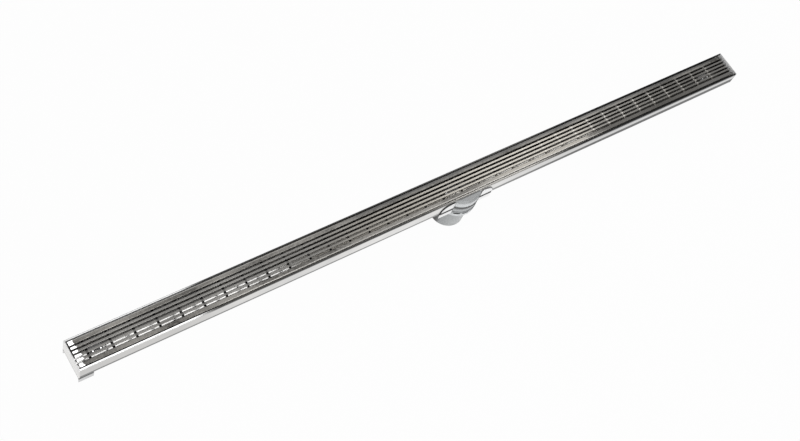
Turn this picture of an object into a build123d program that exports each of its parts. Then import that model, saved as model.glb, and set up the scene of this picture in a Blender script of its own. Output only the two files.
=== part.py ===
"""Linear shower drain: a folded stainless channel, a lift-out wedge wire grate and a round outlet.

Millimetres. +X runs along the channel, +Y across it, +Z up. The origin is on the outlet's axis,
in the plane of the spigot's open end, so the rim of the channel is OUTLET_DROP above it.
"""
from math import floor, pi
from build123d import *
import os

# Channel: one folded sheet with a hemmed rim and a lip that carries the grate
LENGTH = 1800.0
WIDTH = 70.0
DEPTH = 40.0
SHEET = 1.5
BEND = 3.0
HEM_ROUND = 1.4
LEDGE = 6.0
END_PLATE = 2.0

# Where the outlet sits, and how far its open end is below the rim
OUTLET_SHIFT = 40.0
OUTLET_DROP = 130.0

# Grate: edge bars, wedge wires and the cross rods under them
GRATE_HEIGHT = 11.0
SIDE_GAP = 2.5
LEFT_GAP = 3.0
RIGHT_GAP = 12.0
EDGE_BAR = 9.0
EDGE_SHEET = 2.0
EDGE_BEVEL = 0.7
WIRE_COUNT = 4
WIRE_TOP = 4.8
WIRE_FOOT = 2.0
WIRE_BEVEL = 0.4
ROD_HEIGHT = 4.0
ROD_WIDTH = 5.0
ROD_BEVEL = 1.0
ROD_PITCH = 50.0
FIRST_ROD = 27.0
FREE_END = 20.0

# Lifting plates under the wires, one near each end, each with a slot for the lifting key
LIFT_LENGTH = 28.0
LIFT_SHEET = 2.0
LEFT_LIFT = 17.0
RIGHT_LIFT = 23.0
KEY_SLOT_LENGTH = 7.0
KEY_SLOT_WIDTH = 3.4

# Feet and brackets under the floor
FOOT_HEIGHT = 18.0
FOOT_LENGTH = 32.0
FOOT_SHEET = 2.0
FOOT_BEND = 3.0
BRACKET_REACH = 72.5
BRACKET_SHEET = 1.5
BRACKET_CORNER = 24.0
BRACKET_BELOW_RIM = 8.0
BRACKET_LEG = 13.0
BEAD_RISE = 6.0
BEAD_HEIGHT = 5.0
BEAD_DEPTH = 0.9
LINER = 1.0
LINER_SHOW = 2.0
POT_CLEARANCE = 1.0

# Outlet pot, flat-topped at the back, with an inspection cap over it at the front of the channel
POT_BULGE = 15.4
POT_WALL = 3.0
POT_RISE = 8.0
DECK = 6.0
DECK_STEP = 2.0
CAP_GASKET = 5.0
CAP_GASKET_PROUD = 1.0
CAP_BELOW_RIM = 5.0
CAP_BEVEL = 4.0

# Waste flange that clamps the floor down on the pot, and its strainer
FLANGE_INSET = 2.5
FLANGE_SHEET = 2.5
FLANGE_LIP = 4.0
TAIL_WALL = 4.6
THREAD_CLEARANCE = 0.1
FLOOR_GASKET = 2.0
FLOOR_GASKET_MARGIN = 5.5
STRAINER_SEAT = 2.6
STRAINER_CLEARANCE = 0.3
STRAINER_SHEET = 1.5
STRAINER_SLOTS = 10
STRAINER_SLOT_WIDTH = 3.0
STRAINER_HUB = 0.36
STRAINER_RIM = 0.86
TAB_LENGTH = 12.0
TAB_HEIGHT = 8.0

# Spigot and the union ring that holds it
SPIGOT_DIAMETER = 82.5
SPIGOT_WALL = 3.0
SPIGOT_FLANGE = 3.0
SPIGOT_COLLAR = 4.75
SPIGOT_RELIEF = 0.8
RELIEF_RUN = 1.5
SEAL = 4.0
SCREW_NECK = 3.0
RING_WALL = 5.2
RING_LIP = 5.5
RING_CLEARANCE = 0.4
GRIP_COUNT = 15
GRIP_HEIGHT = 4.5
GRIP_DEPTH = 2.6
GRIP_RIB = 6.5

# Levels and faces that several pieces share
RIM = OUTLET_DROP
FLOOR_UNDER = RIM - DEPTH
FLOOR_TOP = FLOOR_UNDER + SHEET
LEFT_END = -LENGTH / 2 - OUTLET_SHIFT
RIGHT_END = LENGTH / 2 - OUTLET_SHIFT
HALF_WIDTH = WIDTH / 2
RIM_WIDTH = 2 * SHEET
SEAT = RIM - GRATE_HEIGHT
ROD_TOP = SEAT + ROD_HEIGHT
FOOT_BASE = FLOOR_UNDER - FOOT_HEIGHT

GRATE_LEFT = LEFT_END + END_PLATE + LEFT_GAP
GRATE_RIGHT = RIGHT_END - END_PLATE - RIGHT_GAP
GRATE_HALF = HALF_WIDTH - RIM_WIDTH - SIDE_GAP
SLOT = (2 * (GRATE_HALF - EDGE_BAR) - WIRE_COUNT * WIRE_TOP) / (WIRE_COUNT + 1)
WIRE_PITCH = WIRE_TOP + SLOT
ROD_START = GRATE_LEFT + FIRST_ROD
ROD_COUNT = floor((GRATE_RIGHT - ROD_START - FREE_END) / ROD_PITCH) + 1
ROD_END = ROD_START + (ROD_COUNT - 1) * ROD_PITCH

POT_RADIUS = HALF_WIDTH + POT_BULGE
DECK_TOP = FLOOR_UNDER - FLOOR_GASKET
POT_UNDER = DECK_TOP - DECK
POT_RIM = FLOOR_UNDER + POT_RISE
CAP_BASE = POT_RIM + CAP_GASKET
CAP_TOP = RIM - CAP_BELOW_RIM

FLANGE_RADIUS = HALF_WIDTH - SHEET - FLANGE_INSET
TAIL_RADIUS = FLANGE_RADIUS - FLANGE_LIP
TAIL_BORE = TAIL_RADIUS - TAIL_WALL
STRAINER_RADIUS = TAIL_BORE + STRAINER_SEAT - STRAINER_CLEARANCE

SPIGOT_RADIUS = SPIGOT_DIAMETER / 2
SPIGOT_BORE = SPIGOT_RADIUS - SPIGOT_WALL
COLLAR_RADIUS = SPIGOT_RADIUS + SPIGOT_COLLAR
SEAL_TOP = POT_UNDER - SCREW_NECK
COLLAR_TOP = SEAL_TOP - SEAL
COLLAR_UNDER = COLLAR_TOP - SPIGOT_FLANGE
RING_UNDER = COLLAR_UNDER - RING_LIP
RING_TOP = POT_UNDER - RING_CLEARANCE
SCREW_RADIUS = COLLAR_RADIUS + RING_CLEARANCE
RING_BORE = SCREW_RADIUS + RING_CLEARANCE
RING_RADIUS = RING_BORE + RING_WALL

UP = (Align.CENTER, Align.CENTER, Align.MIN)
ACROSS = Plane.YZ


def disc(radius, low, high):
    """Upright cylinder on the outlet's axis between two levels."""
    return Pos(0, 0, low) * Cylinder(radius, high - low, align=UP)


def tube(outer, inner, low, high):
    """Upright ring on the outlet's axis between two levels."""
    return disc(outer, low, high) - disc(inner, low, high)


def slab(x_span, y_span, z_span):
    """Box between pairs of faces."""
    spans = (x_span, y_span, z_span)
    sizes = [high - low for low, high in spans]
    centre = [(low + high) / 2 for low, high in spans]
    return Pos(*centre) * Box(*sizes)


def panel(half_width, low, high):
    """Rectangle in the channel's cross-section, as a face across X."""
    return Pos(0, (low + high) / 2) * Rectangle(2 * half_width, high - low)


def along(face, start, end):
    """Draw a cross-section out along the channel, between two places on X."""
    return Pos(start, 0, 0) * extrude(ACROSS * face, end - start, dir=(1, 0, 0))


def corners(face, level):
    """The corners of a cross-section that lie at one level."""
    return [v for v in face.vertices() if abs(v.Y - level) < 1e-6]


def channel_outline():
    """Outside of the trough: square rim corners softened by the hem, floor corners by the bend."""
    outline = panel(HALF_WIDTH, FLOOR_UNDER, RIM)
    outline = fillet(corners(outline, FLOOR_UNDER), BEND)
    return fillet(corners(outline, RIM), HEM_ROUND)


def channel_body():
    """Folded trough: wall, hem doubled over at the rim, and the hem's lip bent in as a ledge."""
    lip_under = SEAT - SHEET
    trough = panel(HALF_WIDTH - SHEET, FLOOR_TOP, lip_under)
    trough = fillet(corners(trough, FLOOR_TOP), BEND - SHEET)
    between_lips = panel(HALF_WIDTH - RIM_WIDTH - LEDGE, lip_under - SHEET, SEAT + SHEET)
    mouth = panel(HALF_WIDTH - RIM_WIDTH, SEAT, RIM + HEM_ROUND)
    section = channel_outline() - trough - between_lips - mouth
    body = along(section, LEFT_END + END_PLATE, RIGHT_END - END_PLATE)
    return body - disc(TAIL_RADIUS + 2 * THREAD_CLEARANCE, FLOOR_UNDER - SHEET, FLOOR_TOP + SHEET)


def foot(start):
    """Folded foot: a top plate under the floor and a leg at each side."""
    outer = panel(HALF_WIDTH, FOOT_BASE, FLOOR_UNDER)
    outer = fillet(corners(outer, FLOOR_UNDER), FOOT_BEND)
    under = FLOOR_UNDER - FOOT_SHEET
    inner = panel(HALF_WIDTH - FOOT_SHEET, FOOT_BASE - FOOT_SHEET, under)
    inner = fillet(corners(inner, under), FOOT_BEND - FOOT_SHEET)
    return along(outer - inner, start, start + FOOT_LENGTH)


def cradle(inner, sheet, low, top, reach, corner):
    """Sheet wrapped under the channel and up both walls, its upper corners rounded, cut to clear the pot."""
    web = RIM - DEPTH - (inner - HALF_WIDTH)
    section = panel(inner + sheet, low, top) - panel(inner, web, top + sheet)
    if low < web - sheet:
        section -= panel(inner, low - sheet, web - sheet)
    wrap = along(section, 0, reach)
    ends = wrap.edges().filter_by(Axis.Y)
    ends = [e for e in ends if e.center().Z > top - 1e-6 and e.center().X > reach - 1e-6]
    return fillet(ends, corner) - disc(max(POT_RADIUS, RING_RADIUS) + POT_CLEARANCE, low - sheet, RIM)


def turned(shape, side):
    """The shape on the right of the outlet, or turned round to the left of it."""
    return shape if side > 0 else Rot(0, 0, 180) * shape


def bracket(side):
    """Bracket beside the pot: cheeks up the walls, a web under the floor, and legs with a pressed bead."""
    inner = HALF_WIDTH + LINER
    outer = inner + BRACKET_SHEET
    low = FLOOR_UNDER - BRACKET_LEG
    shape = cradle(inner, BRACKET_SHEET, low, RIM - BRACKET_BELOW_RIM, BRACKET_REACH, BRACKET_CORNER)
    bead = FLOOR_UNDER + BEAD_RISE
    for face in (-outer, outer):
        shape -= slab((0, BRACKET_REACH), (face - BEAD_DEPTH, face + BEAD_DEPTH),
                      (bead - BEAD_HEIGHT / 2, bead + BEAD_HEIGHT / 2))
    return turned(shape, side)


def bracket_liner(side):
    """Rubber sheet between a bracket and the channel, showing past the bracket's edge."""
    low = FLOOR_UNDER - LINER
    top = RIM - BRACKET_BELOW_RIM + LINER_SHOW
    reach = BRACKET_REACH + LINER_SHOW
    return turned(cradle(HALF_WIDTH, LINER, low, top, reach, BRACKET_CORNER + LINER_SHOW), side)


def edge_bar(side):
    """Angle along the grate's side: a flat band on top and a leg that stands on the ledge."""
    band = Pos(GRATE_HALF - EDGE_BAR / 2, RIM - EDGE_SHEET / 2) * Rectangle(EDGE_BAR, EDGE_SHEET)
    leg = Pos(GRATE_HALF - EDGE_SHEET / 2, RIM - GRATE_HEIGHT / 2) * Rectangle(EDGE_SHEET, GRATE_HEIGHT)
    section = chamfer(corners(band + leg, RIM), EDGE_BEVEL)
    if side < 0:
        section = mirror(section, Plane.YZ)
    return along(section, GRATE_LEFT, GRATE_RIGHT)


def wedge_wire(y):
    """Wire of wedge section, widest at the top so that nothing lodges in the slots."""
    top, bottom = WIRE_TOP / 2, WIRE_FOOT / 2
    wedge = Polygon((-bottom, ROD_TOP), (bottom, ROD_TOP), (top, RIM), (-top, RIM), align=None)
    wedge = chamfer(corners(wedge, RIM), WIRE_BEVEL)
    return along(Pos(y, 0) * wedge, GRATE_LEFT, GRATE_RIGHT)


def cross_rod(x):
    """Bar across the grate, between the legs of the edge bars, with its upper corners bevelled."""
    section = Pos(x, (SEAT + ROD_TOP) / 2) * Rectangle(ROD_WIDTH, ROD_HEIGHT)
    section = chamfer(corners(section, ROD_TOP), ROD_BEVEL)
    half = GRATE_HALF - EDGE_SHEET
    return extrude(Plane.XZ * section, half, both=True)


def lift_plate(x):
    """Plate from the first wire to the third, with a key slot below the gap between the first two."""
    along_x = (x - LIFT_LENGTH / 2, x + LIFT_LENGTH / 2)
    across = (-1.5 * WIRE_PITCH, 0.5 * WIRE_PITCH)
    plate = slab(along_x, across, (ROD_TOP - LIFT_SHEET, ROD_TOP))
    return plate - Pos(x, -WIRE_PITCH, ROD_TOP) * Box(KEY_SLOT_LENGTH, KEY_SLOT_WIDTH, 3 * LIFT_SHEET)


def waste_flange():
    """Flange on the channel's floor with a screwed tail down into the pot and a seat for the strainer."""
    top = FLOOR_TOP + FLANGE_SHEET
    body = disc(FLANGE_RADIUS, FLOOR_TOP, top) + disc(TAIL_RADIUS, POT_UNDER, FLOOR_TOP)
    body -= disc(TAIL_BORE, POT_UNDER - 1, top + 1)
    return body - disc(TAIL_BORE + STRAINER_SEAT, top - STRAINER_SHEET, top + 1)


def hair_strainer():
    """Disc in the flange's seat, slotted from hub to rim, with a tab to lift it by."""
    top = FLOOR_TOP + FLANGE_SHEET
    plate = disc(STRAINER_RADIUS, top - STRAINER_SHEET, top)
    start, end = STRAINER_HUB * STRAINER_RADIUS, STRAINER_RIM * STRAINER_RADIUS
    slot = Pos((start + end) / 2, 0, top) * Box(end - start, STRAINER_SLOT_WIDTH, 4 * STRAINER_SHEET)
    for i in range(STRAINER_SLOTS):
        plate -= Rot(0, 0, 360 * i / STRAINER_SLOTS) * slot
    return plate + Pos(0, 0, top) * Box(TAB_LENGTH, STRAINER_SHEET, TAB_HEIGHT, align=UP)


def outlet_pot():
    """Round pot under the channel: a deck that takes the waste flange, a front wall and a screwed neck."""
    widest = max(POT_RADIUS, SCREW_RADIUS)
    beside = HALF_WIDTH + POT_CLEARANCE
    across = (-widest, widest)
    front = slab(across, (-widest, -beside), (DECK_TOP, POT_RIM))
    behind = slab(across, (beside, widest), (DECK_TOP - DECK_STEP, DECK_TOP))
    pot = disc(widest, POT_UNDER, DECK_TOP) - behind
    pot += tube(POT_RADIUS, POT_RADIUS - POT_WALL, DECK_TOP, POT_RIM) & front
    pot += tube(SCREW_RADIUS, SPIGOT_BORE, SEAL_TOP, POT_UNDER)
    return pot - disc(TAIL_RADIUS + THREAD_CLEARANCE, POT_UNDER, DECK_TOP)


def floor_gasket():
    """Square rubber pad between the channel's floor and the pot's deck, with a hole for the flange's tail."""
    hole = TAIL_RADIUS + 2 * THREAD_CLEARANCE
    edge = hole + FLOOR_GASKET_MARGIN
    return slab((-edge, edge), (-edge, edge), (DECK_TOP, FLOOR_UNDER)) - disc(hole, DECK_TOP, FLOOR_UNDER)


def half_moon(shape):
    """The part of a round shape that stands out past the front wall of the channel."""
    far = 2 * POT_RADIUS
    return shape & slab((-far, far), (-far, -HALF_WIDTH), (0, RIM))


def side_cap():
    """Hollow half-round cap over the pot, closed at the top and open to the channel's wall."""
    cap = disc(POT_RADIUS, CAP_BASE, CAP_TOP)
    cap = chamfer(cap.edges().filter_by(GeomType.CIRCLE).sort_by(Axis.Z)[-1], CAP_BEVEL)
    return half_moon(cap - disc(POT_RADIUS - POT_WALL, CAP_BASE - 1, CAP_TOP - POT_WALL))


def cap_gasket():
    """Rubber strip between the cap and the pot's rim."""
    return half_moon(tube(POT_RADIUS + CAP_GASKET_PROUD, POT_RADIUS - POT_WALL, POT_RIM, CAP_BASE))


def union_ring():
    """Ring that screws on the pot's neck, with a row of grip recesses round its upper half."""
    ring = disc(RING_RADIUS, RING_UNDER, RING_TOP)
    ring -= disc(SPIGOT_RADIUS + RING_CLEARANCE, RING_UNDER - 1, RING_TOP + 1)
    ring -= disc(RING_BORE, COLLAR_UNDER, RING_TOP + 1)
    width = 2 * pi * RING_RADIUS / GRIP_COUNT - GRIP_RIB
    grip = Pos(RING_RADIUS, 0, COLLAR_TOP) * Box(2 * GRIP_DEPTH, width, GRIP_HEIGHT, align=UP)
    for i in range(GRIP_COUNT):
        ring -= Rot(0, 0, 360 * i / GRIP_COUNT) * grip
    return ring


def outlet_spigot():
    """Tail pipe with a collar that the ring holds up against the seal."""
    stop = RING_UNDER - RELIEF_RUN
    pipe = disc(SPIGOT_RADIUS, 0, stop) + disc(SPIGOT_RADIUS - SPIGOT_RELIEF, stop, COLLAR_UNDER)
    pipe += disc(COLLAR_RADIUS, COLLAR_UNDER, COLLAR_TOP)
    return pipe - disc(SPIGOT_BORE, 0, COLLAR_TOP)


def nodes():
    """Every piece of the drain by name."""
    pieces = {"channel_body": channel_body()}
    pieces["end_plate_left"] = along(channel_outline(), LEFT_END, LEFT_END + END_PLATE)
    pieces["end_plate_right"] = along(channel_outline(), RIGHT_END - END_PLATE, RIGHT_END)
    pieces["foot_end"] = foot(LEFT_END)
    for side, word in ((-1, "left"), (1, "right")):
        pieces[f"bracket_{word}"] = bracket(side)
        pieces[f"bracket_liner_{word}"] = bracket_liner(side)
    for side, word in ((-1, "near"), (1, "far")):
        pieces[f"grate_edge_bar_{word}"] = edge_bar(side)
    for i in range(WIRE_COUNT):
        pieces[f"grate_wire_{i + 1}"] = wedge_wire((i - (WIRE_COUNT - 1) / 2) * WIRE_PITCH)
    for i in range(ROD_COUNT):
        pieces[f"grate_rod_{i + 1:02d}"] = cross_rod(ROD_START + i * ROD_PITCH)
    pieces["lift_plate_left"] = lift_plate(ROD_START + LEFT_LIFT)
    pieces["lift_plate_right"] = lift_plate(ROD_END - RIGHT_LIFT)
    pieces["waste_flange"] = waste_flange()
    pieces["hair_strainer"] = hair_strainer()
    pieces["floor_gasket"] = floor_gasket()
    pieces["outlet_pot"] = outlet_pot()
    pieces["side_cap"] = side_cap()
    pieces["cap_gasket"] = cap_gasket()
    pieces["union_ring"] = union_ring()
    pieces["spigot_seal"] = tube(COLLAR_RADIUS, SPIGOT_BORE, COLLAR_TOP, SEAL_TOP)
    pieces["outlet_spigot"] = outlet_spigot()
    return pieces


if __name__ == "__main__":
    os.makedirs("parts", exist_ok=True)
    for name, shape in nodes().items():
        export_step(shape, f"parts/{name}.step")
    print(f"slot {SLOT:.2f} mm, wire pitch {WIRE_PITCH:.2f} mm, {ROD_COUNT} rods")
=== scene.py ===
# %% [markdown]
# # Dressing a linear shower drain
# The solid model gives every piece of the drain its shape and place. This lesson adds what a photograph
# shows and a solid can't: brushed sheet, drawn wire, moulded plastic, rubber, light and a camera.

# %% Load the frame
import bpy
import math
from mathutils import Matrix, Vector


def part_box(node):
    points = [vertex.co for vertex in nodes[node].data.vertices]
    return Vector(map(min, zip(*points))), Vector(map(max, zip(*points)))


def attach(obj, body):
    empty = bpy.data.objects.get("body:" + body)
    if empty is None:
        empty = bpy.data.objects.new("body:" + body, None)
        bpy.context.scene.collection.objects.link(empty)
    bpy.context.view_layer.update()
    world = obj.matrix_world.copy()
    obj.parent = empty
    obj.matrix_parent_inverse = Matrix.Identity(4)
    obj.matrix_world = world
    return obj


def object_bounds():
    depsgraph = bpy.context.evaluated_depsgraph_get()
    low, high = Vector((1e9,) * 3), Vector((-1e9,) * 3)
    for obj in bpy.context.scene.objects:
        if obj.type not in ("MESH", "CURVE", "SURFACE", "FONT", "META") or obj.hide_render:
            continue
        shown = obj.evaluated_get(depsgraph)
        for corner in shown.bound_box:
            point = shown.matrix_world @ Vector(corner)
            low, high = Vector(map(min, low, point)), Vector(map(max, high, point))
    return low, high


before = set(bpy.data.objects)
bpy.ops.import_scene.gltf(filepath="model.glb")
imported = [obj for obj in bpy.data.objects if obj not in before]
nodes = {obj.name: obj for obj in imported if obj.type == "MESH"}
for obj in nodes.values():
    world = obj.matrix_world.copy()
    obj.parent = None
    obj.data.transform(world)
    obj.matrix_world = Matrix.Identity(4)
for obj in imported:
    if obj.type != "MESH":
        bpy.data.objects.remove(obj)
cad_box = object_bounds()
print("nodes:", len(nodes), "CAD box:", [[round(v, 4) for v in corner] for corner in cad_box])

# %% [markdown]
# ## The camera
# The picture was taken from above the left front, with the drain running away to the upper right. The
# camera's place and its three axes were worked out from the channel's corners and the even row of rods.
# They go straight into a matrix, so nothing has to be aimed by eye.

# %% Camera
CAMERA_PLACE = (-1.38293, -0.83726, 2.39472)
CAMERA_RIGHT = (0.816474, -0.523434, 0.243694)
CAMERA_UP = (0.367165, 0.796429, 0.48051)
CAMERA_BACK = (-0.4456, -0.302849, 0.842451)
LENS_MM, SENSOR_MM = 55.54, 36.0

lens = bpy.data.cameras.new("photo_camera")
lens.sensor_fit = "HORIZONTAL"
lens.sensor_width = SENSOR_MM
lens.lens = LENS_MM
camera = bpy.data.objects.new("photo_camera", lens)
bpy.context.collection.objects.link(camera)
turn = Matrix((CAMERA_RIGHT, CAMERA_UP, CAMERA_BACK)).transposed()
camera.matrix_world = Matrix.Translation(CAMERA_PLACE) @ turn.to_4x4()
bpy.context.scene.camera = camera
bpy.context.scene.view_settings.view_transform = "Standard"
print("camera at", CAMERA_PLACE, "lens", LENS_MM)

# %% [markdown]
# ## Floor and light
# The photograph has a plain white ground. A floor lit white by lamps would flood the drain with light, so
# the floor shows its white only to the camera and to mirror-like reflections. A share of plain diffuse is
# left in it, and that share keeps the soft shadow.

# %% Floor paint
FLOOR_WHITE_SHARE = 0.97
FLOOR_TONE, WHITE = (0.95, 0.95, 0.95, 1), (1, 1, 1, 1)


def add_node(tree, kind, **settings):
    """A new node with its settings; names that are input sockets are set as values."""
    made = tree.nodes.new(kind)
    for key, value in settings.items():
        if key in made.inputs:
            made.inputs[key].default_value = value
        else:
            setattr(made, key, value)
    return made


def new_material(name):
    """An empty node material with its output, ready for a shader."""
    material = bpy.data.materials.new(name)
    material.use_nodes = True
    tree = material.node_tree
    tree.nodes.clear()
    return material, tree, add_node(tree, "ShaderNodeOutputMaterial")


floor_paint, tree, out = new_material("studio_floor")
diffuse = add_node(tree, "ShaderNodeBsdfDiffuse", Color=FLOOR_TONE)
glow = add_node(tree, "ShaderNodeEmission", Color=WHITE, Strength=1.0)
path = add_node(tree, "ShaderNodeLightPath")
seen = add_node(tree, "ShaderNodeMath", operation="MAXIMUM")
shown = add_node(tree, "ShaderNodeMath", operation="MAXIMUM")
share = add_node(tree, "ShaderNodeMath", operation="MULTIPLY")
share.inputs[1].default_value = FLOOR_WHITE_SHARE
blend = add_node(tree, "ShaderNodeMixShader")
tree.links.new(path.outputs["Is Camera Ray"], seen.inputs[0])
tree.links.new(path.outputs["Is Glossy Ray"], seen.inputs[1])
tree.links.new(seen.outputs[0], shown.inputs[0])
tree.links.new(path.outputs["Is Transmission Ray"], shown.inputs[1])
tree.links.new(shown.outputs[0], share.inputs[0])
tree.links.new(share.outputs[0], blend.inputs[0])
tree.links.new(diffuse.outputs[0], blend.inputs[1])
tree.links.new(glow.outputs[0], blend.inputs[2])
tree.links.new(blend.outputs[0], out.inputs["Surface"])
print("floor paint:", floor_paint.name, "white share", FLOOR_WHITE_SHARE)

# %% Floor
FLOOR_SIZE, FLOOR_GAP = 40.0, 0.0005
half = FLOOR_SIZE / 2
floor_mesh = bpy.data.meshes.new("studio_floor")
floor_corners = [(-half, -half, 0), (half, -half, 0), (half, half, 0), (-half, half, 0)]
floor_mesh.from_pydata(floor_corners, [], [(0, 1, 2, 3)])
floor = bpy.data.objects.new("studio_floor", floor_mesh)
floor.location.z = cad_box[0][2] - FLOOR_GAP
floor_mesh.materials.append(floor_paint)
bpy.context.collection.objects.link(floor)
print("floor at", round(floor.location.z, 4))

# %% [markdown]
# Steel shows its surroundings more than its own colour, so the room matters as much as the lamps. The sky
# is a soft change from a lighter side to a darker one, which makes the long grate darken towards its far
# end. It is worked out from the direction of the ray, and the camera itself sees white.

# %% Room
SKY_LIGHT_SIDE = Vector((-0.45, -0.2, 0.87))
SKY_DARK, SKY_LIGHT = 0.28, 0.5
SKY_TURN_START, SKY_TURN_END = 0.2, 0.75

room = bpy.data.worlds.new("studio_room")
room.use_nodes = True
tree = room.node_tree
tree.nodes.clear()
out = add_node(tree, "ShaderNodeOutputWorld")
direction = add_node(tree, "ShaderNodeTexCoord")
facing = add_node(tree, "ShaderNodeVectorMath", operation="DOT_PRODUCT")
facing.inputs[1].default_value = SKY_LIGHT_SIDE
level = add_node(tree, "ShaderNodeMapRange", interpolation_type="SMOOTHSTEP")
level.inputs["From Min"].default_value = SKY_TURN_START
level.inputs["From Max"].default_value = SKY_TURN_END
level.inputs["To Min"].default_value = SKY_DARK
level.inputs["To Max"].default_value = SKY_LIGHT
sky = add_node(tree, "ShaderNodeBackground", Color=WHITE)
seen_white = add_node(tree, "ShaderNodeBackground", Color=WHITE, Strength=1.0)
path = add_node(tree, "ShaderNodeLightPath")
blend = add_node(tree, "ShaderNodeMixShader")
tree.links.new(direction.outputs["Generated"], facing.inputs[0])
tree.links.new(facing.outputs["Value"], level.inputs["Value"])
tree.links.new(level.outputs["Result"], sky.inputs["Strength"])
tree.links.new(path.outputs["Is Camera Ray"], blend.inputs[0])
tree.links.new(sky.outputs[0], blend.inputs[1])
tree.links.new(seen_white.outputs[0], blend.inputs[2])
tree.links.new(blend.outputs[0], out.inputs["Surface"])
bpy.context.scene.world = room
print("sky from", SKY_DARK, "to", SKY_LIGHT)

# %% [markdown]
# Four lamps do the rest. A long narrow one overhead is mirrored by the polished rim and, through the slots,
# by the floor of the trough. A squarer one shines on the rough tops of the wires in the middle. A wide one
# low in front lights the round of the rim and the grey plastic. The last has a narrow beam that rakes along
# the grate from the left, so the rods' left edges and the right end plate catch it.

# %% Lamps


def soft_lamp(name, place, aim, size, radiance, spread=180):
    """A rectangular lamp that faces a point, as bright as the radiance says, with a beam in degrees."""
    light = bpy.data.lights.new(name, "AREA")
    light.shape = "RECTANGLE"
    light.size, light.size_y = size
    light.energy = radiance * math.pi * size[0] * size[1]
    light.spread = math.radians(spread)
    lamp = bpy.data.objects.new(name, light)
    lamp.location = place
    lamp.rotation_euler = (Vector(aim) - Vector(place)).to_track_quat("-Z", "Y").to_euler()
    bpy.context.collection.objects.link(lamp)
    print(name, "radiance", radiance)


soft_lamp("strip_lamp", place=(0.25, 1.065, 3.0), aim=(0.25, 1.065, 0.0), size=(1.4, 0.28), radiance=1.4)
soft_lamp("grate_lamp", place=(2.1, 1.06, 3.0), aim=(0.1, 0, 0.13), size=(0.8, 1.0), radiance=2.8)
soft_lamp("front_lamp", place=(-0.5, -3.6, 1.1), aim=(0, 0, 0.1), size=(3.0, 1.6), radiance=2.6)
soft_lamp("rake_lamp", place=(-2.6, 0.1, 1.5), aim=(0.78, 0, 0.12), size=(1.2, 1.2), radiance=0.1,
          spread=12)

# %% [markdown]
# ## Shared surface effects
# Brushed sheet and drawn wire are both scratched along one direction: noise stretched a long way along the
# brush and squeezed across it. One group makes that streak, with the stretch as an input, so each steel
# sets its own direction.

# %% Brushed streak group


def new_group(name, inputs, outputs):
    """A shader node group with float or vector inputs and float outputs."""
    group = bpy.data.node_groups.new(name, "ShaderNodeTree")
    for label, kind, value in inputs:
        made = group.interface.new_socket(label, in_out="INPUT", socket_type="NodeSocket" + kind)
        made.default_value = value
    for label in outputs:
        group.interface.new_socket(label, in_out="OUTPUT", socket_type="NodeSocketFloat")
    return group, group.nodes.new("NodeGroupInput"), group.nodes.new("NodeGroupOutput")


streak_group, group_in, group_out = new_group(
    "brushed_streak", [("Stretch", "Vector", (1, 1, 1))], ["Streak", "Cloud"])
place = add_node(streak_group, "ShaderNodeTexCoord")
squeeze = add_node(streak_group, "ShaderNodeVectorMath", operation="MULTIPLY")
fine = add_node(streak_group, "ShaderNodeTexNoise", Scale=1.0, Detail=4.0, Roughness=0.65)
broad = add_node(streak_group, "ShaderNodeTexNoise", Scale=9.0, Detail=3.0, Roughness=0.55)
streak_group.links.new(place.outputs["Object"], squeeze.inputs[0])
streak_group.links.new(group_in.outputs["Stretch"], squeeze.inputs[1])
streak_group.links.new(squeeze.outputs[0], fine.inputs["Vector"])
streak_group.links.new(place.outputs["Object"], broad.inputs["Vector"])
streak_group.links.new(fine.outputs["Fac"], group_out.inputs["Streak"])
streak_group.links.new(broad.outputs["Fac"], group_out.inputs["Cloud"])
print("group:", streak_group.name)

# %% [markdown]
# Several finishes change at a place on the drain: the rim is polished, the bend along the floor is painted
# dark as painted shade, and the wires' left ends are painted bright as a painted reflection. A second group
# marks such a span along any direction, with soft and ragged limits.

# %% Span group
NOISE_MIDDLE = 0.5
span_group, group_in, group_out = new_group(
    "span_mark",
    [("Along", "Vector", (0, 0, 1)), ("Low", "Float", 0.0), ("High", "Float", 1.0), ("Soft", "Float", 0.001),
     ("Ragged", "Float", 0.0)],
    ["Mark"])
place = add_node(span_group, "ShaderNodeTexCoord")
measure = add_node(span_group, "ShaderNodeVectorMath", operation="DOT_PRODUCT")
rough_edge = add_node(span_group, "ShaderNodeTexNoise", Scale=160.0, Detail=3.0)
shake = add_node(span_group, "ShaderNodeMath", operation="SUBTRACT")
shake.inputs[1].default_value = NOISE_MIDDLE
shaken = add_node(span_group, "ShaderNodeMath", operation="MULTIPLY_ADD")
span_group.links.new(place.outputs["Object"], measure.inputs[0])
span_group.links.new(group_in.outputs["Along"], measure.inputs[1])
span_group.links.new(place.outputs["Object"], rough_edge.inputs["Vector"])
span_group.links.new(rough_edge.outputs["Fac"], shake.inputs[0])
span_group.links.new(shake.outputs[0], shaken.inputs[0])
span_group.links.new(group_in.outputs["Ragged"], shaken.inputs[1])
span_group.links.new(measure.outputs["Value"], shaken.inputs[2])
limits = []
for limit, way in (("Low", "SUBTRACT"), ("High", "ADD")):
    outside = add_node(span_group, "ShaderNodeMath", operation=way)
    step = add_node(span_group, "ShaderNodeMapRange", interpolation_type="SMOOTHSTEP")
    span_group.links.new(group_in.outputs[limit], outside.inputs[0])
    span_group.links.new(group_in.outputs["Soft"], outside.inputs[1])
    span_group.links.new(shaken.outputs[0], step.inputs["Value"])
    span_group.links.new(outside.outputs[0], step.inputs["From Min"])
    span_group.links.new(group_in.outputs[limit], step.inputs["From Max"])
    limits.append(step.outputs["Result"])
inside = add_node(span_group, "ShaderNodeMath", operation="MULTIPLY")
span_group.links.new(limits[0], inside.inputs[0])
span_group.links.new(limits[1], inside.inputs[1])
span_group.links.new(inside.outputs[0], group_out.inputs["Mark"])
print("group:", span_group.name)

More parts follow.
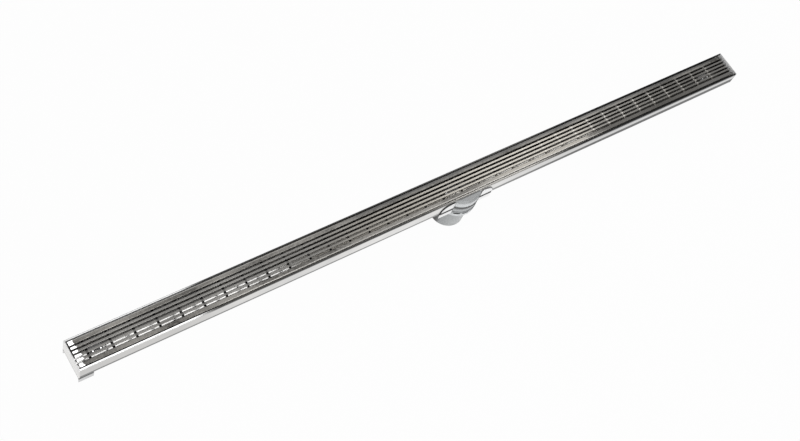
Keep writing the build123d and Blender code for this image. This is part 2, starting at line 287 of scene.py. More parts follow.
# %% [markdown]
# The wires are welded to a rod every so often, and each weld leaves a mark, scorched or brushed light
# again. A third group repeats a mark along X at a pitch: the ping-pong of the place, counted in pitches, is
# the distance to the nearest rod. One mask then serves every rod.

# %% Weld group
HALF_PITCH = 0.5
weld_group, group_in, group_out = new_group(
    "weld_mark",
    [("First", "Float", 0.0), ("Pitch", "Float", 0.05), ("Half", "Float", 0.001), ("Soft", "Float", 0.001)],
    ["Mark"])
place = add_node(weld_group, "ShaderNodeTexCoord")
parts = add_node(weld_group, "ShaderNodeSeparateXYZ")
from_first = add_node(weld_group, "ShaderNodeMath", operation="SUBTRACT")
counted = add_node(weld_group, "ShaderNodeMath", operation="DIVIDE")
nearest = add_node(weld_group, "ShaderNodeMath", operation="PINGPONG")
nearest.inputs[1].default_value = HALF_PITCH
distance = add_node(weld_group, "ShaderNodeMath", operation="MULTIPLY")
limit = add_node(weld_group, "ShaderNodeMath", operation="ADD")
fade = add_node(weld_group, "ShaderNodeMapRange", interpolation_type="SMOOTHSTEP")
fade.inputs["To Min"].default_value = 1.0
fade.inputs["To Max"].default_value = 0.0
weld_group.links.new(place.outputs["Object"], parts.inputs[0])
weld_group.links.new(parts.outputs["X"], from_first.inputs[0])
weld_group.links.new(group_in.outputs["First"], from_first.inputs[1])
weld_group.links.new(from_first.outputs[0], counted.inputs[0])
weld_group.links.new(group_in.outputs["Pitch"], counted.inputs[1])
weld_group.links.new(counted.outputs[0], nearest.inputs[0])
weld_group.links.new(nearest.outputs[0], distance.inputs[0])
weld_group.links.new(group_in.outputs["Pitch"], distance.inputs[1])
weld_group.links.new(group_in.outputs["Half"], limit.inputs[0])
weld_group.links.new(group_in.outputs["Soft"], limit.inputs[1])
weld_group.links.new(distance.outputs[0], fade.inputs["Value"])
weld_group.links.new(group_in.outputs["Half"], fade.inputs["From Min"])
weld_group.links.new(limit.outputs[0], fade.inputs["From Max"])
weld_group.links.new(fade.outputs["Result"], group_out.inputs["Mark"])
print("group:", weld_group.name)

# %% [markdown]
# ## Steel
# Each steel is a metal shader whose colour and roughness follow the streak. Places with a finish of their
# own, such as the polished rim, could be cut out as faces or painted on an unwrapped image. Masks worked
# out from the place on the drain need neither, and the mesh stays whole. A material is then a chain of a
# few kinds of node, so each kind gets a short helper.

# %% Node helpers


def tone_ramp(tree, source, low, high, start=0.3, end=0.7):
    """Turn a grey value into a colour between two tones."""
    ramp = add_node(tree, "ShaderNodeValToRGB")
    ramp.color_ramp.elements[0].position = start
    ramp.color_ramp.elements[1].position = end
    ramp.color_ramp.elements[0].color = (*low, 1)
    ramp.color_ramp.elements[1].color = (*high, 1)
    tree.links.new(source, ramp.inputs["Fac"])
    return ramp.outputs["Color"]


def value_range(tree, source, low, high, start=0.3, end=0.7):
    """Map a grey value onto a range."""
    span = add_node(tree, "ShaderNodeMapRange")
    for socket, value in zip(("From Min", "From Max", "To Min", "To Max"), (start, end, low, high)):
        span.inputs[socket].default_value = value
    tree.links.new(source, span.inputs["Value"])
    return span.outputs["Result"]


def product(tree, first, second):
    """Multiply two values; either may be a number."""
    node = add_node(tree, "ShaderNodeMath", operation="MULTIPLY")
    for socket, value in zip(node.inputs, (first, second)):
        if isinstance(value, float):
            socket.default_value = value
        else:
            tree.links.new(value, socket)
    return node.outputs[0]


print("node helpers ready")

# %% [markdown]
# A mark is mixed in through a mask. The mask of a place is the product of its spans, and the mask then
# draws the tone and the roughness towards those of the mark. A mix node has a pair of sockets for each type
# of data, and several share a name, so they are found by number.

# %% Mark helpers
VALUE_FROM, VALUE_TO, VALUE_OUT = 2, 3, 0
COLOUR_FROM, COLOUR_TO, COLOUR_OUT = 6, 7, 2


def span_mark(tree, along, low, high, soft, ragged):
    """Mask for a span of the drain along a direction, in metres."""
    mark = add_node(tree, "ShaderNodeGroup", node_tree=span_group)
    for socket, value in zip(("Along", "Low", "High", "Soft", "Ragged"), (along, low, high, soft, ragged)):
        mark.inputs[socket].default_value = value
    return mark.outputs["Mark"]


def span_marks(tree, spans):
    """Mask where every one of the spans holds."""
    mark = span_mark(tree, *spans[0])
    for span in spans[1:]:
        mark = product(tree, mark, span_mark(tree, *span))
    return mark


def tint(tree, colour, mark, tone):
    """Mix a colour towards a tone where a mask is set."""
    mix = add_node(tree, "ShaderNodeMix", data_type="RGBA")
    tree.links.new(mark, mix.inputs["Factor"])
    tree.links.new(colour, mix.inputs[COLOUR_FROM])
    mix.inputs[COLOUR_TO].default_value = (*tone, 1)
    return mix.outputs[COLOUR_OUT]


def shift_value(tree, value, mark, target):
    """Mix a value towards a number where a mask is set."""
    mix = add_node(tree, "ShaderNodeMix", data_type="FLOAT")
    tree.links.new(mark, mix.inputs["Factor"])
    tree.links.new(value, mix.inputs[VALUE_FROM])
    mix.inputs[VALUE_TO].default_value = target
    return mix.outputs[VALUE_OUT]


print("mark helpers use", span_group.name)

# %% [markdown]
# The steel itself is one function. It mixes the marks into the streak one after another, then the weld
# marks, and it adds a ripple to the relief where a sheet was ground.

# %% Brushed steel
TONE_START, TONE_END = 0.38, 0.62
RELIEF_DEPTH = 0.0002
STRAW_GREEN = 0.35


def brushed_steel(name, stretch, dark, light, rough, bump, marks=(), metallic=1.0, welds=(), ripple=None):
    """Metal whose tone, roughness and relief follow a streak, with marks, welds and a ripple mixed in."""
    material, tree, out = new_material(name)
    shader = add_node(tree, "ShaderNodeBsdfPrincipled", Metallic=metallic)
    streak = add_node(tree, "ShaderNodeGroup", node_tree=streak_group)
    streak.inputs["Stretch"].default_value = stretch
    both = add_node(tree, "ShaderNodeMath", operation="ADD")
    tree.links.new(streak.outputs["Streak"], both.inputs[0])
    tree.links.new(streak.outputs["Cloud"], both.inputs[1])
    average = product(tree, both.outputs[0], 0.5)
    colour = tone_ramp(tree, average, dark, light, TONE_START, TONE_END)
    roughness = value_range(tree, streak.outputs["Streak"], *rough)
    for tone, gloss, share, spans in marks:
        mark = product(tree, span_marks(tree, spans), share)
        colour = tint(tree, colour, mark, tone)
        roughness = shift_value(tree, roughness, mark, gloss)
    for first, pitch, half, tone, share, spans in welds:
        weld = add_node(tree, "ShaderNodeGroup", node_tree=weld_group)
        weld.inputs["First"].default_value = first
        weld.inputs["Pitch"].default_value = pitch
        weld.inputs["Half"].default_value = half
        mark = product(tree, product(tree, weld.outputs["Mark"], span_marks(tree, spans)), share)
        colour = tint(tree, colour, mark, tone)
    height = product(tree, streak.outputs["Streak"], bump)
    if ripple:
        across, depth, spans = ripple
        wave = add_node(tree, "ShaderNodeGroup", node_tree=streak_group)
        wave.inputs["Stretch"].default_value = across
        raised = add_node(tree, "ShaderNodeMath", operation="ADD")
        tree.links.new(height, raised.inputs[0])
        waves = product(tree, product(tree, wave.outputs["Streak"], depth), span_marks(tree, spans))
        tree.links.new(waves, raised.inputs[1])
        height = raised.outputs[0]
    tree.links.new(colour, shader.inputs["Base Color"])
    tree.links.new(roughness, shader.inputs["Roughness"])
    relief = add_node(tree, "ShaderNodeBump", Strength=1.0, Distance=RELIEF_DEPTH)
    tree.links.new(height, relief.inputs["Height"])
    tree.links.new(relief.outputs["Normal"], shader.inputs["Normal"])
    tree.links.new(shader.outputs[0], out.inputs["Surface"])
    return material


def grey(level, warmth=0.0):
    """A neutral tone, or one that leans to straw."""
    return (level, level * (1 - warmth * STRAW_GREEN), level * (1 - warmth))


print("steel helper ready, relief", RELIEF_DEPTH)

# %% [markdown]
# The marks are written as places with a finish. A place is one or more spans along the drain, across it or
# up it, and most spans are open at one end. The finish is a tone, a roughness and the share of the steel
# that it covers.

# %% Places and finishes
ALONG_X, ALONG_Y, ALONG_Z = (1, 0, 0), (0, 1, 0), (0, 0, 1)
FAR_OFF = 9.0
FADE = 0.001


def between(along, low, high, fade=FADE, ragged=0.0):
    """Span from one limit to the other along a direction."""
    return (along, low, high, fade, ragged)


def left_of(x, fade=FADE, ragged=0.0):
    """Span from the drain's left end to a place."""
    return between(ALONG_X, -FAR_OFF, x, fade, ragged)


def right_of(x, fade=FADE):
    """Span from a place to the drain's right end."""
    return between(ALONG_X, x, FAR_OFF, fade)


def near_of(y, fade=FADE):
    """Span on the camera's side of a place."""
    return between(ALONG_Y, -FAR_OFF, y, fade)


def far_of(y, fade=FADE):
    """Span on the far side of a place."""
    return between(ALONG_Y, y, FAR_OFF, fade)


def below(z, fade=FADE):
    """Span under a level."""
    return between(ALONG_Z, -FAR_OFF, z, fade)


def above(z, fade=FADE, ragged=0.0):
    """Span over a level."""
    return between(ALONG_Z, z, FAR_OFF, fade, ragged)


def finish_on(spans, tone, roughness, share=1.0):
    """A mark on steel, set where all its spans hold."""
    return (tone, roughness, share, spans)


near_half = near_of(0.0)
print("places fade over", FADE, "where nothing else is said")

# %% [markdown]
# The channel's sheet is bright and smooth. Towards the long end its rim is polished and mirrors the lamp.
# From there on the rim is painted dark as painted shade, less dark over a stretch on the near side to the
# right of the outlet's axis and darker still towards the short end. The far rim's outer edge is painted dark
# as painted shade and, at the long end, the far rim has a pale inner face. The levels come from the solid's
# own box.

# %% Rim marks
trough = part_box("channel_body")
rim, under = trough[1][2], trough[0][2]
wall = trough[1][1]
RIM_BAND = 0.0012
POLISH_END, POLISH_FADE = -0.7, 0.07
STAIN_START, STAIN_FADE = 0.35, 0.2
WORN_RIM, WORN_RIM_FADE = (0.0, 0.2), 0.14
FAR_LINE = 0.0012
FAR_FACE, FAR_FACE_END = (0.0045, 0.0025), -0.6
on_rim = above(rim - RIM_BAND, fade=0.0004)
round_rim = above(rim - 3 * RIM_BAND, fade=0.0012)
far_line = far_of(wall - FAR_LINE, fade=0.0003)
far_face = between(ALONG_Y, wall - FAR_FACE[0], wall - FAR_FACE[1], fade=0.0005)
worn_rim = between(ALONG_X, *WORN_RIM, WORN_RIM_FADE)
rim_marks = [
    finish_on([on_rim, left_of(POLISH_END, POLISH_FADE)], grey(0.9), roughness=0.06),
    finish_on([on_rim, far_line], grey(0.1), roughness=0.3),
    finish_on([far_face, left_of(FAR_FACE_END, fade=0.1)], grey(0.95), roughness=0.6),
    finish_on([round_rim, right_of(POLISH_END + POLISH_FADE, POLISH_FADE)], grey(0.1, 0.05), roughness=0.3),
    finish_on([round_rim, near_half, worn_rim], grey(0.45, 0.08), roughness=0.3),
    finish_on([round_rim, right_of(STAIN_START, STAIN_FADE)], grey(0.03), roughness=0.3),
]
print("rim at", round(rim, 4), "polished up to", POLISH_END)

# %% [markdown]
# The near wall is duller towards both ends. A line of painted shade runs along it, low at the long end and
# higher at the short end, where it is wider and darker and the sheet below it is bright. At the long end a
# band of painted shade lies along the bottom bend, and at the short end painted shade comes down the wall
# from the rim.

# %% Near wall marks
SHEET = 0.0016
WALL_DULL_LEFT, WALL_DULL_RIGHT, WALL_DULL_FADE = -0.75, 0.4, 0.3
STAIN_DROP, STAIN_LAG = 0.0055, 0.1
BEND_BAND, BEND_BAND_END = 0.008, -0.3
RISING_Z = (-0.0103, 0, 1)
TARNISH_LOW, TARNISH_HIGH, TARNISH_RAGGED = 0.0885, 0.1, 0.001
TARNISH_EXTRA, DARK_TARNISH_START = 0.0015, 0.4
BRIGHT_START = 0.1
near_wall = near_of(SHEET - wall, fade=0.0002)
dull_left = left_of(WALL_DULL_LEFT, WALL_DULL_FADE)
dull_right = right_of(WALL_DULL_RIGHT, WALL_DULL_FADE)
upper_wall = above(rim - STAIN_DROP, fade=0.002)
stained_end = right_of(STAIN_START + STAIN_LAG, STAIN_FADE)
bottom_bend = below(under + BEND_BAND, fade=0.003)
long_end = left_of(BEND_BAND_END, fade=0.2)
below_tarnish = between(RISING_Z, -FAR_OFF, TARNISH_LOW)
tarnish_line = between(RISING_Z, TARNISH_LOW, TARNISH_HIGH, fade=0.0025, ragged=TARNISH_RAGGED)
wide_tarnish = between(RISING_Z, TARNISH_LOW, TARNISH_HIGH + TARNISH_EXTRA, fade=0.003, ragged=TARNISH_RAGGED)
dull_marks = [
    finish_on([near_wall, dull_left], grey(0.5, 0.04), roughness=0.1, share=0.8),
    finish_on([near_wall, dull_right], grey(0.5, 0.02), roughness=0.1, share=0.8),
]
wall_marks = [
    finish_on([near_wall, upper_wall, stained_end], grey(0.03), roughness=0.3),
    finish_on([near_wall, bottom_bend, long_end], grey(0.12), roughness=0.3, share=0.9),
    finish_on([near_wall, below_tarnish, right_of(BRIGHT_START, fade=0.2)], grey(0.95), roughness=0.1),
    finish_on([near_wall, tarnish_line], grey(0.2), roughness=0.3, share=0.9),
    finish_on([near_wall, wide_tarnish, right_of(DARK_TARNISH_START, fade=0.5)], grey(0.02), roughness=0.3),
]
print("painted_shade from", TARNISH_LOW, "to", TARNISH_HIGH, "at the outlet")

# %% [markdown]
# Inside, from the middle on, the trough is painted dark as painted shade and made duller. The clean end was
# ground crosswise, which draws out whatever is mirrored in it. Along the middle of the floor, strips side by
# side are painted pale as painted light, and they end at different places.

# %% Channel steel
SCUM_START, SCUM_FADE = -0.25, 0.2
LEDGE_DROP, FLOOR_RISE = 0.013, 0.003
LIME_EDGES = (-0.009, 0.0003, 0.0095, 0.0188)
LIME_FADE = 0.1
NEAR_LIME, NEAR_LIME_GLOSS = (-0.37, 0.36), (0.1, 0.36)
MIDDLE_LIME, FAR_LIME_END = (-0.4, -0.22), -0.6
GROUND_STRETCH, GROUND_DEPTH = (900, 20, 20), 0.8
inside_walls = between(ALONG_Y, SHEET - wall, wall - SHEET, fade=0.0002)
below_ledge = below(rim - LEDGE_DROP)
near_strip, middle_strip, far_strip = [between(ALONG_Y, *pair) for pair in zip(LIME_EDGES, LIME_EDGES[1:])]
near_lime = between(ALONG_X, *NEAR_LIME, LIME_FADE)
glossy_lime = between(ALONG_X, *NEAR_LIME_GLOSS, LIME_FADE)
middle_lime = between(ALONG_X, *MIDDLE_LIME, LIME_FADE)
far_lime = left_of(FAR_LIME_END, fade=0.2)
inside_marks = [
    finish_on([inside_walls, below_ledge, right_of(SCUM_START, SCUM_FADE)], grey(0.14, 0.1), roughness=0.5),
    finish_on([below_ledge, near_strip, near_lime], grey(0.95, 0.12), roughness=0.6),
    finish_on([below_ledge, near_strip, glossy_lime], grey(0.7, 0.08), roughness=0.3),
    finish_on([below_ledge, middle_strip, middle_lime], grey(0.7, 0.1), roughness=0.6),
    finish_on([below_ledge, far_strip, far_lime], grey(0.8, 0.05), roughness=0.5, share=0.8),
]
ground_spans = [inside_walls, below(under + FLOOR_RISE), left_of(SCUM_START, fade=0.1)]
channel_marks = dull_marks + rim_marks + wall_marks + inside_marks
channel_steel = brushed_steel(
    "channel_steel", stretch=(40, 900, 900), dark=grey(0.58, 0.03), light=grey(0.78, 0.03),
    rough=(0.05, 0.12), bump=0.06, marks=channel_marks,
    ripple=(GROUND_STRETCH, GROUND_DEPTH, ground_spans))
print("channel:", channel_steel.name, len(channel_marks), "marks")

# %% [markdown]
# The end plates are cut from the same sheet and are less polished. The right one turns a matt face to the
# grate's finger gap, painted pale as painted light above the level of the grate and dark as painted shade
# below it. The lifting plates are matt too.

# %% Plate steel
SCUM_DROP, FACE_SKIN = 0.0125, 0.0003
scum_top = rim - SCUM_DROP
inner_face = left_of(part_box("end_plate_right")[0][0] + FACE_SKIN, FACE_SKIN)
pale_marks = [
    finish_on([inner_face, above(scum_top)], grey(0.97), roughness=0.6),
    finish_on([inner_face, below(scum_top)], grey(0.05), roughness=0.6),
]
plate_steel = brushed_steel(
    "plate_steel", stretch=(300, 40, 900), dark=grey(0.62, 0.03), light=grey(0.78, 0.03), rough=(0.15, 0.25),
    bump=0.06, marks=[finish_on([on_rim], grey(0.8), roughness=0.2)])
pale_steel = brushed_steel(
    "pale_steel", stretch=(300, 300, 900), dark=grey(0.6), light=grey(0.75), rough=(0.5, 0.65),
    bump=0.1, marks=pale_marks, metallic=0.0)
dull_steel = brushed_steel(
    "dull_steel", stretch=(300, 300, 900), dark=grey(0.5), light=grey(0.75), rough=(0.5, 0.65),
    bump=0.1, metallic=0.4)
print("plates:", plate_steel.name, pale_steel.name, dull_steel.name)

# %% [markdown]
# The foot and the brackets are folded from the same sheet. The foot's top bend is painted dark as painted
# shade where it meets the floor, and the brackets' pressed bead holds a dark line of painted shade.

# %% Foot and bracket steel
BEAD_RISE, BEAD_HALF = 0.006, 0.0045
FOOT_LINE, FOOT_RAGGED = 0.0035, 0.001
bead = under + BEAD_RISE
bead_line = between(ALONG_Z, bead - BEAD_HALF, bead + BEAD_HALF)
foot_line = above(under - FOOT_LINE, ragged=FOOT_RAGGED)
foot_steel = brushed_steel(
    "foot_steel", stretch=(40, 900, 900), dark=grey(0.5), light=grey(0.66), rough=(0.18, 0.3),
    bump=0.1, marks=[finish_on([foot_line], grey(0.12), roughness=0.4)])
bracket_steel = brushed_steel(
    "bracket_steel", stretch=(60, 900, 900), dark=grey(0.8), light=grey(0.93), rough=(0.15, 0.25),
    bump=0.08, marks=[finish_on([bead_line], grey(0.22), roughness=0.5)])
print("bracket bead at", round(bead, 4))

# %% [markdown]
# The wires are rougher than the sheet, so their tops stay an even grey. Their left ends are painted bright as
# a painted reflection, and the cut faces themselves are painted dark as painted shade. The middle is painted
# lighter as a painted highlight and has a straw tint from the welding. The short end is duller, and a little
# lighter again at its tip.

# %% Wire marks
wire_box, rod_box, next_rod_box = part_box("grate_wire_1"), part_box("grate_rod_01"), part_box("grate_rod_02")
left_cut = wire_box[0][0]
CUT_SKIN, WIRE_DRESSED, WIRE_RAGGED = 0.0002, 0.011, 0.016
STRAW_START, STRAW_FADE = -0.2, 0.25
DULL_START, WIRE_TIP = 0.42, 0.79
end_face = left_of(left_cut + CUT_SKIN, CUT_SKIN)
dressed_wires = left_of(left_cut + WIRE_DRESSED, fade=0.003, ragged=WIRE_RAGGED)
dull_end = right_of(DULL_START, fade=0.07)
straw = between(ALONG_X, STRAW_START, DULL_START, STRAW_FADE)
wire_marks = [
    # The straw span is painted lighter as a painted highlight, with a straw tint.
    finish_on([straw], grey(0.44, 0.15), roughness=0.3, share=0.9),
    finish_on([dull_end], grey(0.26, 0.1), roughness=0.32, share=0.9),
    finish_on([right_of(WIRE_TIP, fade=0.05)], grey(0.36, 0.08), roughness=0.32, share=0.9),
    finish_on([dressed_wires], grey(0.98), roughness=0.08),
    finish_on([end_face], grey(0.03), roughness=0.5),
]
print("wires cut at", round(left_cut, 4))

# %% [markdown]
# The welds are scorched dark at the long end, on the two near wires, and light towards the short end. Each
# mark lies a few millimetres to the long side of its rod, as in the photograph.

# %% Wire steel
first_rod = (rod_box[0][0] + rod_box[1][0]) / 2
rod_pitch = next_rod_box[0][0] - rod_box[0][0]
rod_half = (rod_box[1][0] - rod_box[0][0]) / 2
last_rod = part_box("grate_rod_35")[1][0]
LIGHT_SHIFT, SCORCH_SHIFT = 0.005, 0.002
LIGHT_START, SCORCH_MARGIN, SCORCH_END = 0.5, 0.02, -0.5
light_welds = [right_of(LIGHT_START, fade=0.5), left_of(last_rod, fade=0.005)]
scorched_welds = [near_half, between(ALONG_X, left_cut + SCORCH_MARGIN, SCORCH_END, fade=0.15)]


def weld_row(spans, shift, width, tone, share):
    """Weld marks at the rods' pitch, moved to the left by a shift; the width is a share of a rod's."""
    return (first_rod - shift, rod_pitch, rod_half * width, tone, share, spans)


weld_marks = [
    weld_row(light_welds, LIGHT_SHIFT, width=0.7, tone=grey(0.75, 0.1), share=0.7),
    weld_row(scorched_welds, SCORCH_SHIFT, width=0.8, tone=grey(0.06), share=0.6),
]
wire_steel = brushed_steel(
    "wire_steel", stretch=(14, 1200, 1200), dark=grey(0.26, 0.07), light=grey(0.42, 0.07), rough=(0.28, 0.36),
    bump=0.05, marks=wire_marks, welds=weld_marks)
print("welds from", round(first_rod, 4), "every", round(rod_pitch, 4))

# %% [markdown]
# The rods are painted dark on top as painted shade, where little light falls between the wires, and bright
# lower down. They are pale towards the short end, and their near ends are lighter from the outlet on.

# %% Rod steel
ROD_BRIGHT_DROP, ROD_PALE_START = 0.002, 0.45
ROD_NEAR_END, ROD_NEAR_START = -0.0135, 0.05
near_ends = [near_of(ROD_NEAR_END), right_of(ROD_NEAR_START, fade=0.1)]
rod_marks = [
    finish_on([below(rod_box[1][2] - ROD_BRIGHT_DROP)], grey(0.95), roughness=0.35),
    finish_on([right_of(ROD_PALE_START, fade=0.3)], grey(0.95, 0.06), roughness=0.6),
    finish_on(near_ends, grey(0.6, 0.1), roughness=0.4, share=0.9),
]
rod_steel = brushed_steel(
    "rod_steel", stretch=(900, 12, 900), dark=grey(0.03), light=grey(0.06), rough=(0.3, 0.4),
    bump=0.1, marks=rod_marks)
print("rods:", rod_steel.name, "pale from", ROD_PALE_START)

# %% [markdown]
# The edge bars are mottled where they were pickled. Feet have worn the near one bright to the right of the
# outlet, and its outer edge carries a painted highlight over a longer stretch. At the long end only, the far
# one's edge carries a painted highlight and its outer side is painted pale as painted light, and it is darker
# beside the rest. At the long end the near bar's outer side and the cut faces are painted dark as painted
# shade in the near gap and the end gap.

# %% Bar steel
bar_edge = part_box("grate_edge_bar_far")[1][1]
EDGE_BAND, DIRT_BAND = 0.0018, 0.004
BAR_DRESSED, BAR_RAGGED = 0.008, 0.012
WORN_START, WORN_END, WORN_EDGE_START = 0.17, 0.35, -0.56
BAR_TIP, DIRT_START = 0.76, -0.2
FAR_EDGE_END, FAR_SIDE_END = -0.4, -0.55
near_edge = near_of(EDGE_BAND - bar_edge, fade=0.0005)
near_side = near_of(FACE_SKIN - bar_edge, FACE_SKIN)
far_edge = far_of(bar_edge - EDGE_BAND, fade=0.0005)
far_side = far_of(bar_edge - FACE_SKIN, FACE_SKIN)
dressed_bars = left_of(left_cut + BAR_DRESSED, fade=0.003, ragged=BAR_RAGGED)
worn_bar = [near_half, right_of(WORN_START, fade=0.2), left_of(WORN_END, fade=0.02)]
worn_edge = [near_edge, between(ALONG_X, WORN_EDGE_START, WORN_END, fade=0.1)]
far_dirt = [far_of(bar_edge - DIRT_BAND), right_of(DIRT_START, fade=0.15)]
bar_marks = [
    finish_on([near_half, dull_end], grey(0.16, 0.1), roughness=0.4, share=0.8),
    finish_on([near_half, right_of(BAR_TIP, fade=0.06)], grey(0.3, 0.06), roughness=0.4, share=0.8),
    finish_on(worn_bar, grey(0.6, 0.14), roughness=0.4, share=0.9),
    finish_on(worn_edge, grey(0.7, 0.08), roughness=0.35, share=0.9),
    finish_on([far_edge, left_of(FAR_EDGE_END, fade=0.08)], grey(0.6, 0.08), roughness=0.35, share=0.9),
    finish_on([far_side, left_of(FAR_SIDE_END, fade=0.1)], grey(0.95), roughness=0.5),
    finish_on(far_dirt, grey(0.16), roughness=0.4, share=0.7),
    finish_on([dressed_bars], grey(0.98), roughness=0.08),
    finish_on([near_side, left_of(POLISH_END, fade=0.1)], grey(0.02), roughness=0.5),
    finish_on([end_face], grey(0.03), roughness=0.5),
]
bar_steel = brushed_steel(
    "bar_steel", stretch=(140, 300, 300), dark=grey(0.12, 0.1), light=grey(0.54, 0.1), rough=(0.35, 0.5),
    bump=0.2, marks=bar_marks)
print("bars:", bar_steel.name, "outer edge at", round(bar_edge, 4))

# %% [markdown]
# The waste flange and its strainer are turned. The trough's near strip of painted light runs on over them, up
# to the flange's top, so the strainer's tab stays clear of it. A painted glint lies on the flange's lip. The
# rivets are polished.

# %% Waste and rivet steel
LIP_ALONG, LIP_ACROSS = (-0.033, -0.024), (-0.001, 0.011)
below_tab = below(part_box("waste_flange")[1][2], fade=0.0005)
rubbed_lip = [between(ALONG_X, *LIP_ALONG), between(ALONG_Y, *LIP_ACROSS)]
waste_marks = [
    finish_on([near_strip, below_tab], grey(0.8, 0.1), roughness=0.3),
    finish_on(rubbed_lip, grey(0.98), roughness=0.2),
]
turned_steel = brushed_steel(
    "turned_steel", stretch=(500, 500, 60), dark=grey(0.2), light=grey(0.3), rough=(0.35, 0.45),
    bump=0.1, marks=waste_marks)
rivet_steel = brushed_steel(
    "rivet_steel", stretch=(700, 700, 700), dark=grey(0.9), light=grey(0.98), rough=(0.04, 0.08), bump=0.02)
print("waste:", turned_steel.name, "rivets:", rivet_steel.name)

# %% [markdown]
# ## Plastic and rubber
# The pot, cap, ring and spigot are pipe-grey mouldings. Moulded plastic has a fine even grain and a slow
# change of tone, and the rubber is made the same way. A mark on a moulding changes only the tone. It may be
# kept to what lies nearer the outlet's axis than a radius, which is how the ring's recesses are told from
# its outside.

# %% Moulding helpers
GRAIN = (1500, 1500, 1500)
RADIUS_FADE = 0.0002


def within_radius(tree, radius):
    """Mask for what lies nearer the outlet's axis than a radius."""
    place = add_node(tree, "ShaderNodeTexCoord")
    flat = add_node(tree, "ShaderNodeVectorMath", operation="MULTIPLY")
    flat.inputs[1].default_value = (1, 1, 0)
    length = add_node(tree, "ShaderNodeVectorMath", operation="LENGTH")
    tree.links.new(place.outputs["Object"], flat.inputs[0])
    tree.links.new(flat.outputs[0], length.inputs[0])
    return value_range(tree, length.outputs["Value"], 1.0, 0.0, radius - RADIUS_FADE, radius)


def moulding(name, dark, light, rough, bump, marks=()):
    """Moulded surface with a fine grain, a slow change of tone and marks made by tone_on."""
    material, tree, out = new_material(name)
    shader = add_node(tree, "ShaderNodeBsdfPrincipled")
    grain = add_node(tree, "ShaderNodeGroup", node_tree=streak_group)
    grain.inputs["Stretch"].default_value = GRAIN
    colour = tone_ramp(tree, grain.outputs["Cloud"], dark, light)
    for tone, radius, spans in marks:
        mark = span_marks(tree, spans)
        if radius:
            mark = product(tree, mark, within_radius(tree, radius))
        colour = tint(tree, colour, mark, tone)
    tree.links.new(colour, shader.inputs["Base Color"])
    tree.links.new(value_range(tree, grain.outputs["Cloud"], *rough), shader.inputs["Roughness"])
    relief = add_node(tree, "ShaderNodeBump", Strength=bump, Distance=RELIEF_DEPTH)
    tree.links.new(grain.outputs["Streak"], relief.inputs["Height"])
    tree.links.new(relief.outputs["Normal"], shader.inputs["Normal"])
    tree.links.new(shader.outputs[0], out.inputs["Surface"])
    return material


def tone_on(spans, tone, radius=None):
    """A mark on a moulding, set where all its spans hold and, if a radius is given, only inside it."""
    return (tone, radius, spans)


print("moulding helpers ready, grain", GRAIN[0])

# %% [markdown]
# The cap's lower edge and the ring's lip carry a painted highlight. Painted shade darkens the pot under the
# cap's gasket, the pipe under the ring and the pipe's right side, and a painted shadow darkens the pipe's
# left side. The ring's recesses are painted dark as painted shade.

# %% Plastic
ring_box, gasket_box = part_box("union_ring"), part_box("cap_gasket")
pipe_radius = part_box("outlet_spigot")[1][0]
gasket_low, gasket_top = gasket_box[0][2], gasket_box[1][2]
ring_low = ring_box[0][2]
RING_LIP, GRIP_LOW, GRIP_HIGH = 0.0078, 0.0083, 0.0135
CAP_WORN, POT_SHADE, RING_SHADE, PIPE_TOP = 0.01, 0.005, 0.007, 0.06
DIM_SIDE, DIM_FADE, DIRTY_SIDE = 0.5, 0.6, -0.88
PIPE_DARK, PIPE_LIGHT = (0.46, 0.475, 0.48), (0.54, 0.555, 0.56)
PIPE_WORN, PIPE_DIM, PIPE_SHADE = (0.78, 0.8, 0.81), (0.35, 0.36, 0.365), (0.25, 0.26, 0.265)
on_pipe = below(PIPE_TOP)
pipe_marks = [
    tone_on([between(ALONG_Z, gasket_top, gasket_top + CAP_WORN, fade=0.008)], PIPE_WORN),
    tone_on([right_of(DIM_SIDE * pipe_radius, DIM_FADE * pipe_radius), on_pipe], PIPE_DIM),
    tone_on([between(ALONG_Z, gasket_low - POT_SHADE, gasket_low, fade=0.002)], PIPE_SHADE),
    tone_on([between(ALONG_Z, ring_low - RING_SHADE, ring_low, fade=0.004)], PIPE_SHADE),
    tone_on([left_of(DIRTY_SIDE * pipe_radius, fade=0.005), on_pipe], grey(0.06)),
]
grip_band = between(ALONG_Z, ring_low + GRIP_LOW, ring_low + GRIP_HIGH, fade=0.0002)
ring_marks = [
    tone_on([below(ring_low + RING_LIP, fade=0.0006)], PIPE_WORN),
    tone_on([grip_band], grey(0.02), radius=ring_box[1][0] - FACE_SKIN),
]
grey_plastic = moulding("grey_plastic", PIPE_DARK, PIPE_LIGHT, rough=(0.2, 0.32), bump=0.12, marks=pipe_marks)
ring_plastic = moulding("ring_plastic", PIPE_DARK, PIPE_LIGHT, rough=(0.2, 0.32), bump=0.12, marks=ring_marks)
print("plastic:", grey_plastic.name, ring_plastic.name, "pipe radius", round(pipe_radius, 5))

# %% [markdown]
# The rubber is dull and nearly black. The cap's gasket is greyer; its dark band is partly the rubber and
# partly painted shade of the gap under the cap. The right bracket's liner, of the same rubber as the left, is
# painted paler as painted light.

# %% Rubber
black_rubber = moulding("black_rubber", grey(0.012), grey(0.03), rough=(0.6, 0.75), bump=0.3)
dark_rubber = moulding("dark_rubber", grey(0.1), grey(0.14), rough=(0.6, 0.75), bump=0.3)
grey_rubber = moulding("grey_rubber", grey(0.28), grey(0.36), rough=(0.6, 0.75), bump=0.3)
print("rubber:", black_rubber.name, dark_rubber.name, grey_rubber.name)

# %% [markdown]
# ## Dressing the pieces
# Every solid takes its material by name. The first key that a name starts with wins, so the longer names
# come first.

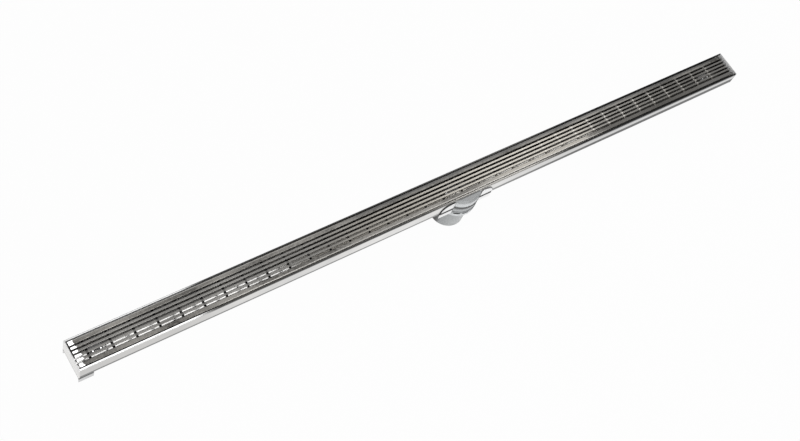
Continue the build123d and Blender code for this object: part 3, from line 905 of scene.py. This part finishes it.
# %% Assign
FINISHES = {
    "grate_rod": rod_steel, "grate_wire": wire_steel, "grate_edge_bar": bar_steel, "lift_plate": dull_steel,
    "waste_flange": turned_steel, "hair_strainer": turned_steel,
    "bracket_liner_left": black_rubber, "bracket_liner_right": grey_rubber, "bracket": bracket_steel,
    "floor_gasket": black_rubber, "cap_gasket": dark_rubber, "spigot_seal": black_rubber,
    "outlet": grey_plastic, "side_cap": grey_plastic, "union_ring": ring_plastic,
    "channel_body": channel_steel, "foot": foot_steel,
    "end_plate_left": plate_steel, "end_plate_right": pale_steel,
}
for name, piece in nodes.items():
    start = next(key for key in FINISHES if name.startswith(key))
    piece.data.materials.clear()
    piece.data.materials.append(FINISHES[start])
print("dressed", len(nodes), "nodes")

# %% [markdown]
# ## Rivets
# Two polished pan heads hold each lifting plate and stand up into the slot above it. A head is an outline
# turned round an upright axis: a straight side, a quarter round and a flat top, which mirrors the lamp. A
# loop over angles makes it, and nothing has to be cut.

# %% Rivet heads
RIVET_RADIUS, RIVET_HEIGHT, RIVET_ROUND = 0.0019, 0.0054, 0.0004
RIVET_SPREAD, RIVET_SIDE = 0.00825, -0.0089
TURNS, STEPS = 24, 4


def rivet_mesh(verts, faces, x, y, z):
    """Add one pan head that stands on a plate at the given point."""
    base = len(verts)
    outline = [(RIVET_RADIUS, 0.0)]
    for i in range(STEPS + 1):
        angle = math.pi / 2 * i / STEPS
        outline.append((RIVET_RADIUS - RIVET_ROUND * (1 - math.cos(angle)),
                        RIVET_HEIGHT - RIVET_ROUND * (1 - math.sin(angle))))
    for radius, height in outline:
        for k in range(TURNS):
            turn = 2 * math.pi * k / TURNS
            verts.append((x + radius * math.cos(turn), y + radius * math.sin(turn), z + height))
    for i in range(len(outline) - 1):
        for k in range(TURNS):
            low, high = base + i * TURNS, base + (i + 1) * TURNS
            faces.append((low + k, low + (k + 1) % TURNS, high + (k + 1) % TURNS, high + k))
    last = base + (len(outline) - 1) * TURNS
    faces.append(tuple(last + k for k in range(TURNS)))
    faces.append(tuple(base + k for k in reversed(range(TURNS))))


for side in ("left", "right"):
    low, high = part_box("lift_plate_" + side)
    middle = (low[0] + high[0]) / 2
    verts, faces = [], []
    for way in (-1, 1):
        rivet_mesh(verts, faces, middle + way * RIVET_SPREAD, RIVET_SIDE, high[2])
    mesh = bpy.data.meshes.new("lift_rivets_" + side)
    mesh.from_pydata(verts, [], faces)
    mesh.shade_flat()
    mesh.materials.append(rivet_steel)
    rivets = bpy.data.objects.new("lift_rivets_" + side, mesh)
    bpy.context.collection.objects.link(rivets)
    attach(rivets, "root")
    print("rivets", side, "at x", round(middle, 4))
